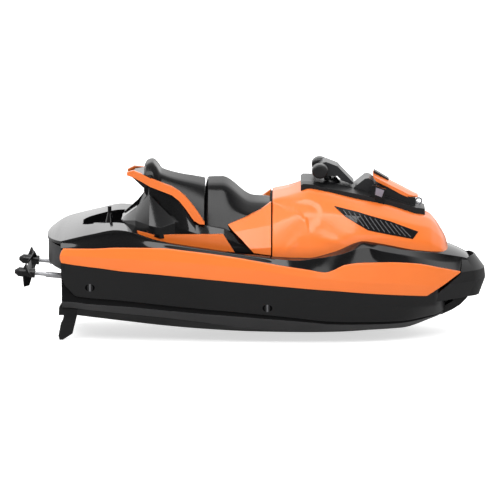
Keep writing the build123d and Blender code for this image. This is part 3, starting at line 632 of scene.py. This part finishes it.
side_z = edge_z + (shoulder_z - edge_z) * climb
side_y = np.where((station < flank_fore) & (station > flank_aft), breadth(deck_x, side_z, 0.3),
                  crest_y)
side_y = side_y * (1 - climb**3) + shoulder_y * climb**3
flat_side_y = side_y[:, :1] + (shoulder_y - side_y[:, :1]) * climb
side_y = side_y + (flat_side_y - side_y) * ledge
inward = np.linspace(0.12, 1, 6)[None]
side_y = np.concatenate([side_y, shoulder_y + (crest_y - shoulder_y) * inward], axis=1)
side_z = np.concatenate([side_z, shoulder_z + (crest_z - shoulder_z) * inward], axis=1)
flank = surface(station, side_y, side_z)
deck_rings = np.concatenate([flank * FLIP, deck_top[:, 1:-1], flank[:, ::-1]], axis=1)
deck_skin = piece("deck_skin", [tube(deck_rings)], gloss_black)
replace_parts(deck_skin, "deck")

# %% [markdown]
# Seats and cowl are lofted mouldings: a table of half sections from bottom to top, joined along the
# boat. A Subdivision modifier would round them too, but it shrinks the whole shape. So each corner
# of a section is cut by a share of its sides, then cut again, and the flats stay where they were.

# %% Lofted mouldings and the seats


def softened(points, ratio):
    """Cuts every corner of open lines held in the second axis: each side keeps its middle, from
    ratio to 1 - ratio, and the two ends stay."""
    a, b = points[:, :-1], points[:, 1:]
    first, second = a + (b - a) * ratio, b + (a - b) * ratio
    cut = np.stack([first, second], axis=2).reshape(points.shape[0], -1, points.shape[2])
    return np.concatenate([points[:, :1], cut, points[:, -1:]], axis=1)


def lofted(table, count, ratios):
    """Rings of a moulding that is the same on both sides, from a table of x and y, z corners that
    run from the bottom up to the middle of the top. Corners are cut once for each ratio."""
    x = np.linspace(table[0][0], table[-1][0], count)
    corners = fair([row[0] for row in table], [row[1:] for row in table], x)
    for ratio in ratios:
        corners = softened(corners, ratio)
    half = surface(x[:, None], corners[..., 0], corners[..., 1])
    return np.concatenate([half[:, :-1], half[:, ::-1] * FLIP], axis=1)


seat_rear_rows = [
    (-55.8, (14, 78), (12.2, 85.2), (8.2, 88.6), (0, 89.6)),
    (-54.6, (15, 76), (13, 86.4), (8.8, 91), (0, 92.2)),
    (-51.6, (16, 74), (13.2, 86.9), (8.2, 92.2), (0, 93)),
    (-49.2, (17, 72), (13.6, 84.4), (9.7, 90), (0, 91)),
    (-46.6, (18, 70), (14.4, 80.8), (10.7, 86.4), (0, 87.8)),
    (-24, (25.1, 58), (18.7, 72.2), (12.2, 80.6), (0, 83.1)),
]
seat_front_rows = [
    (-23.7, (25.5, 56), (17, 70), (10, 76.0), (0, 78.0)),
    (-22, (26.1, 56), (19.2, 71.2), (12.7, 81.2), (0, 83.6)),
    (-14.8, (27.1, 54), (19.7, 70.2), (12.7, 81.2), (0, 83.8)),
    (1, (28, 50), (20.2, 66.2), (12.2, 71.8), (0, 74)),
    (11.2, (28, 50), (21, 66), (13, 71.4), (0, 72.8)),
]
for seat_node, rows in (("seat_rear", seat_rear_rows), ("seat_front", seat_front_rows)):
    seat_rings = lofted(rows, 60, (0.1, 0.25))
    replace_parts(piece(seat_node + "_skin", [tube(seat_rings)], seat_black, sharp=25), seat_node)

# %% Cowl
cowl_rows = [
    (11.5, (37.8, 42), (37.0, 52), (31.9, 63), (22.4, 71.2), (18.6, 74.4), (0, 75.4)),
    (12.6, (37.9, 42), (37.1, 52), (32.0, 63.4), (22.6, 71.8), (18.8, 74.8), (0, 75.9)),
    (20, (37.6, 41), (36.7, 52), (31.2, 66.2), (22.6, 73.6), (17.6, 76.4), (0, 77.7)),
    (27, (37.5, 40), (36.3, 52), (30.4, 68.3), (23.8, 74.8), (18.2, 78.6), (0, 80.5)),
    (31, (37.3, 40), (36.1, 52), (30.3, 68.5), (24.0, 75.2), (18.8, 80.0), (0, 81.3)),
    (40, (36.6, 42), (35.3, 54), (29.8, 68.3), (24.4, 74.2), (19.2, 78.6), (0, 79.7)),
    (56, (34.6, 48), (33.5, 58), (28.8, 67.9), (24.2, 71.3), (19.2, 74.6), (0, 75.7)),
    (70, (31.2, 46), (30.5, 57), (26.3, 65.9), (22.0, 68.9), (17.7, 71.6), (0, 72.7)),
    (85, (26.4, 44), (25.8, 54), (21.8, 61.9), (18.0, 64.4), (14.2, 66.4), (0, 67.9)),
    (94.8, (22.0, 42), (21.1, 52), (16.8, 58.9), (13.5, 61.0), (10.2, 62.8), (0, 64.0)),
    (98, (20.3, 41), (18.9, 50), (14.8, 56.0), (11.6, 58.4), (8.8, 59.8), (0, 60.6)),
    (101, (18.6, 40), (16.8, 48), (12.7, 53.2), (10, 54.4), (7.6, 55.4), (0, 56.1)),
    (103.4, (16.6, 40), (14.4, 45), (11, 48.6), (8.4, 50), (6.2, 51), (0, 51.8)),
    (105.4, (15.2, 40), (13.0, 42), (9.6, 43.6), (7.8, 44), (5.4, 44.4), (0, 44.8)),
]
cowl_rings = lofted(cowl_rows, 210, (0.12, 0.25, 0.25))

# %% [markdown]
# The real cowl has a scooped hollow behind each vent and a crease that runs forward under it. Both
# could be sculpted by hand. Here each is a mask made of soft ramps, 1 inside the form and 0 outside,
# and the mask times a depth moves the points, so a hollow can be deepened by one number.

# %% Hollows and creases of the cowl
hollow_in, hollow_down, crease_out, shut_in = 0.65, 0.35, 0.32, 0.5
hollow_aft = [(58, 31.5), (61, 30.6), (66, 29.0), (70, 24), (71.8, 16.5), (73.5, 11)]  # z, x
hollow_fore = [(60, 31.5), (63.6, 34.2), (66.4, 37.9), (70.3, 38.6), (72.7, 36.9), (74.5, 33)]
crease_line = [(14, 44), (18, 50.6), (25.7, 58), (31.5, 59.8), (40, 57.6), (52, 54)]  # x, z
cowl_x, cowl_y, cowl_z = cowl_rings[..., 0], cowl_rings[..., 1], cowl_rings[..., 2]
hollow = (soft_ramp(cowl_x - straight(hollow_aft, cowl_z), 0, 1.6)
          * soft_ramp(straight(hollow_fore, cowl_z) - cowl_x, 0, 3.2)
          * (1 - soft_ramp(cowl_z, 73, 76)) * soft_ramp(cowl_z, 59.5, 62.5))
from_crease = np.abs(cowl_z - straight(crease_line, cowl_x) + 1.4)
crease = (soft_ramp(cowl_z, 40, 41) * (1 - soft_ramp(from_crease, 0.4, 3.2))
          * soft_ramp(cowl_x, 14, 22) * (1 - soft_ramp(cowl_x, 42, 56)))
shut = 1 - soft_ramp(cowl_x, 11.5, 12.1)  # 1 at the rear edge, which rolls in
moved = np.stack([0.4 * shut,
                  np.sign(cowl_y) * (crease_out * crease - hollow_in * hollow - shut_in * shut),
                  -hollow_down * hollow - shut_in * shut * (cowl_z > 60)], -1)
cowl_skin = piece("cowl_skin", [tube(cowl_rings + moved)], orange, sharp=45)
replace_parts(cowl_skin, "cowl")
# A dark band just inside the gap between the cowl and the knee panels is painted shade, and stops light
# from behind it
shut_shade_band = np.stack([cowl_rings[0] * np.array([1, 0.97, 0.985]) + np.array([shift, 0, 0])
                      for shift in (-0.9, 0.9)])
piece("shut_line_shade", [tube(shut_shade_band)], shade_black)

# %% [markdown]
# Each vent is a dark grille with raised louvres that lean forward. A flat grille would cut through
# the curved flank, so its points, and those of each louvre, take their breadth from the cowl's own
# rings and stand a little proud of it.

# %% Vents
vent_top = [(44.0, 72.3), (56.8, 69.3), (73.8, 64.1), (88.4, 58.0)]
vent_foot = [(44.0, 72.3), (50.0, 67.3), (61.9, 60.3), (85.7, 54.6), (88.4, 58.0)]
grille_proud, grille_thick = 0.25, 1.2
louvre_from, louvre_to, louvre_pitch, louvre_run = 49.0, 82.0, 2.75, 5.2
louvre_wide, louvre_lift, louvre_gap = 0.5, 0.6, 0.8


def cowl_breadth(x, z):
    """Half breadth of the cowl's flank at each point x, z of a grid: read off the rings on both
    sides of x, and mixed by how near each is."""
    half = cowl_rings.shape[1] // 2
    ring_x = cowl_rings[:, 0, 0]
    after = np.clip(np.searchsorted(ring_x, x.ravel()), 1, len(cowl_rings) - 1)
    share = (x.ravel() - ring_x[after - 1]) / (ring_x[after] - ring_x[after - 1])
    aft, fore = [np.array([np.interp(height, cowl_rings[row, :half, 2], cowl_rings[row, :half, 1])
                           for row, height in zip(rows, z.ravel())]) for rows in (after - 1, after)]
    return (aft * (1 - share) + fore * share).reshape(x.shape)


def flank_bar(a, b):
    """A louvre along the cowl's flank from a to b in side view, with its two long edges sunk."""
    a, b = np.array(a, float), np.array(b, float)
    run = (b - a) / np.linalg.norm(b - a)
    sideways = np.array([-run[1], run[0]]) * louvre_wide / 2
    middle = a + (b - a) * np.linspace(0, 1, 9)[:, None, None]
    place = middle + np.array([-1, -0.5, 0.5, 1])[None, :, None] * sideways
    proud = louvre_lift * np.array([0.2, 1, 1, 0.2])
    outer = surface(place[..., 0], cowl_breadth(place[..., 0], place[..., 1]) + proud, place[..., 1])
    return inboard(outer, louvre_lift + 0.4)


grille_x = np.linspace(44.4, 88.5, 60)[:, None]
upper, lower = straight(vent_top, grille_x), straight(vent_foot, grille_x)
grille_z = lower + (upper - lower) * np.linspace(0, 1, 9)[None]
grille_x = np.broadcast_to(grille_x, grille_z.shape)
grille = surface(grille_x, cowl_breadth(grille_x, grille_z) + grille_proud, grille_z)
vent_skin = piece("vent_skin", both_sides(inboard(grille, grille_thick)), gloss_black)
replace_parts(vent_skin, "vents")
louvres = []
for x in np.arange(louvre_from, louvre_to, louvre_pitch):
    foot_x = x + min(louvre_run, 0.5 * (x - 43.0))  # the first ones are shorter
    louvres += both_sides(flank_bar((x, straight(vent_top, x) - louvre_gap),
                                    (foot_x, straight(vent_foot, foot_x) + louvre_gap)))
# The louvres are painted paler than the grille, a painted highlight along their raised tops
piece("vent_louvres", louvres, highlight_grey)

# %% [markdown]
# The mirrors have a raised frame with a lens painted pale as a reflection of the room, and the footwells
# are lined by orange strips.
# All of them are flat plates that face sideways, so four corners or two edges in side view are
# enough, filled in by mixing between them.

# %% Mirror frames and footwell strips
frame_y, frame_thick, lens_y, lens_thick = 16.9, 1.6, 17.1, 0.6
strip_y, strip_thick = 32.4, 1.4
strip_top = [(-70, 62.5), (-50, 57.9), (-23, 58.1), (-13.9, 58.3), (-7.4, 48.0)]


def flat_side(corners, y, thick):
    """A thin plate in a fore and aft plane, from four side-view corners in order round it."""
    a, b, c, d = [np.array(place, float) for place in corners]
    s = np.linspace(0, 1, 5)[:, None, None]
    w = np.linspace(0, 1, 5)[None, :, None]
    place = (a * (1 - s) + b * s) * (1 - w) + (d * (1 - s) + c * s) * w
    return both_sides(inboard(surface(place[..., 0], y, place[..., 1]), thick))


frame_corners = [(64.2, 81.6), (71.6, 79.6), (70.9, 74.1), (63.4, 75.6)]
lens_corners = [(66.3, 80.6), (70.6, 79.0), (69.3, 75.3), (65.8, 76.7)]
piece("mirror_frames", flat_side(frame_corners, frame_y, frame_thick), gloss_black)
# The lens's pale grey is a painted reflection
piece("mirror_lenses", flat_side(lens_corners, lens_y, lens_thick), lens)
strip_x = np.concatenate([np.linspace(-66.4, -14.2, 60), np.linspace(-13.9, -7.5, 12)])[:, None]
strip_foot = 43.2 - 0.085 * strip_x
strip_z = strip_foot + (straight(strip_top, strip_x) - strip_foot) * np.linspace(0, 1, 6)[None]
strip = inboard(surface(strip_x, strip_y, strip_z), strip_thick)
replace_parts(piece("footwell_strip_skins", both_sides(strip), orange), "footwell_strips")

# %% [markdown]
# The grips are short drums with rounded ends, one each side of the bar. A cylinder would need its
# ends bevelled, so a profile is swept round an oval in one step. They ride on the steering body.

# %% Grips
grip_x, grip_z, grip_long, grip_tall = 36.9, 88.5, 4.3, 3.8
grip_profile = np.array([(7.3, 0.55), (7.5, 0.8), (8.0, 0.95), (9.0, 1.0), (14.2, 1.0),
                         (15.2, 0.95), (15.8, 0.8), (16.0, 0.5)])  # y, then share of the radius
round_grip = np.linspace(0, 2 * np.pi, 48, endpoint=False)[None]
grip_y, fullness = grip_profile[:, :1], grip_profile[:, 1:]
grip = surface(grip_x + grip_long * fullness * np.cos(round_grip), grip_y,
               grip_z + grip_tall * fullness * np.sin(round_grip))
grips = piece("grip_drums", both_sides(tube(grip)), grained_black, rides="steering")
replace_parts(grips, "grips")

# %% [markdown]
# A photographer lights a glossy toy with large soft lamps over white paper, and lets the polished
# parts mirror a dark side and a bright side of the room. The world does that here: it is brightest
# behind the boat and adds a little overhead, while the camera itself sees plain white.

# %% Room
world = bpy.data.worlds.new("studio")
bpy.context.scene.world = world
world.use_nodes = True
sky = world.node_tree
sky.nodes.clear()
sight = node(sky, "ShaderNodeLightPath")
way = node(sky, "ShaderNodeTexCoord")
parts = node(sky, "ShaderNodeSeparateXYZ", {"Vector": way.outputs["Generated"]})
behind = node(sky, "ShaderNodeMapRange", {"Value": parts.outputs["Y"]})
overhead = node(sky, "ShaderNodeMapRange", {"Value": parts.outputs["Z"]})
for band, ends in ((behind, (-0.35, 0.35, 0.12, 1.3)), (overhead, (0.2, 0.8, 0.0, 0.2))):
    for socket, value in zip(("From Min", "From Max", "To Min", "To Max"), ends):
        band.inputs[socket].default_value = value
level = node(sky, "ShaderNodeMath", {0: behind.outputs[0], 1: overhead.outputs[0]}, operation="ADD")
lit = node(sky, "ShaderNodeBackground", {"Strength": level.outputs[0]})
seen = node(sky, "ShaderNodeBackground", Strength=1.0)
for shade in (lit, seen):
    shade.inputs["Color"].default_value = (1, 1, 1, 1)
mix = node(sky, "ShaderNodeMixShader", {"Fac": sight.outputs["Is Camera Ray"], 1: lit.outputs[0],
                                        2: seen.outputs[0]})
node(sky, "ShaderNodeOutputWorld", {"Surface": mix.outputs[0]})

# %% [markdown]
# White paper under lamps seldom comes out quite white, and turning the lamps up would bleach the
# boat. So to the camera the paper glows as well as catching light and shadow. In reflections it is
# a dim even grey, and to all other light it is plain matt paper.

# %% Paper floor
paper_half = 6.0  # metres
floor_mesh = bpy.data.meshes.new("floor")
floor_mesh.from_pydata([(-paper_half, -paper_half, 0), (paper_half, -paper_half, 0),
                        (paper_half, paper_half, 0), (-paper_half, paper_half, 0)], [],
                       [(0, 1, 2, 3)])
floor = bpy.data.objects.new("floor", floor_mesh)
bpy.context.scene.collection.objects.link(floor)
paper = bpy.data.materials.new("white paper floor")
paper.use_nodes = True
tree = paper.node_tree
tree.nodes.clear()
matte = node(tree, "ShaderNodeBsdfDiffuse", Color=(0.9, 0.9, 0.9, 1))
glow = node(tree, "ShaderNodeEmission", Strength=0.62)
dim = node(tree, "ShaderNodeEmission", Strength=0.3)
both = node(tree, "ShaderNodeAddShader", {0: matte.outputs[0], 1: glow.outputs[0]})
sight = node(tree, "ShaderNodeLightPath")
bounce = node(tree, "ShaderNodeMixShader", {"Fac": sight.outputs["Is Glossy Ray"],
                                            1: matte.outputs[0], 2: dim.outputs[0]})
shown = node(tree, "ShaderNodeMixShader", {"Fac": sight.outputs["Is Camera Ray"],
                                           1: bounce.outputs[0], 2: both.outputs[0]})
node(tree, "ShaderNodeOutputMaterial", {"Surface": shown.outputs[0]})
floor_mesh.materials.append(paper)

# %% [markdown]
# The key lamp is wide and high on the near side, and draws the broad highlights on the orange. A
# weak fill lamp, low and to the right, lightens the shadows under the chine.

# %% Lamps


def lamp(name, place, aim, size, watts):
    """A rectangular soft lamp at place, turned to aim."""
    data = bpy.data.lights.new(name, "AREA")
    data.shape, data.size, data.size_y, data.energy = "RECTANGLE", size[0], size[1], watts
    made = bpy.data.objects.new(name, data)
    made.location = place
    made.rotation_euler = (Vector(aim) - Vector(place)).to_track_quat("-Z", "Y").to_euler()
    bpy.context.scene.collection.objects.link(made)


lamp("key lamp", (-0.2, -0.55, 0.8), (0, 0, 0.04), (1.1, 0.5), 7.6)
lamp("fill lamp", (0.5, -1.1, 0.35), (0.02, 0, 0.04), (0.5, 0.4), 1.2)

# %% [markdown]
# The camera stands far off with a long lens, almost square to the side and a little above the
# deck, where the photograph's view is matched best. Its own axes are worked out from those two
# angles. It is slid sideways and up along them, so that the boat lands where it does in the
# photograph.

# %% Camera
azimuth, elevation, distance = math.radians(0.5), math.radians(10.5), 2.2
focal_pixels, picture_pixels, sensor_mm = 4127.6, 500, 36  # 0.533 mm a pixel at that distance
slide_right, slide_up = -0.0000533, 0.04317
camera = bpy.data.objects.new("camera", bpy.data.cameras.new("camera"))
bpy.context.scene.collection.objects.link(camera)
bpy.context.scene.camera = camera
back = Vector((math.sin(azimuth) * math.cos(elevation), -math.cos(azimuth) * math.cos(elevation),
               math.sin(elevation)))
right = Vector((math.cos(azimuth), math.sin(azimuth), 0))
up = back.cross(right)
camera.data.sensor_width = sensor_mm
camera.data.lens = focal_pixels / picture_pixels * sensor_mm
camera.data.clip_start, camera.data.clip_end = 0.05, 50
axes = Matrix((right, up, back)).transposed().to_4x4()
axes.translation = right * slide_right + up * slide_up + back * distance
camera.matrix_world = axes
bpy.context.scene.view_settings.view_transform = "Standard"
print("Camera at", tuple(axes.translation), "lens", camera.data.lens, "mm")
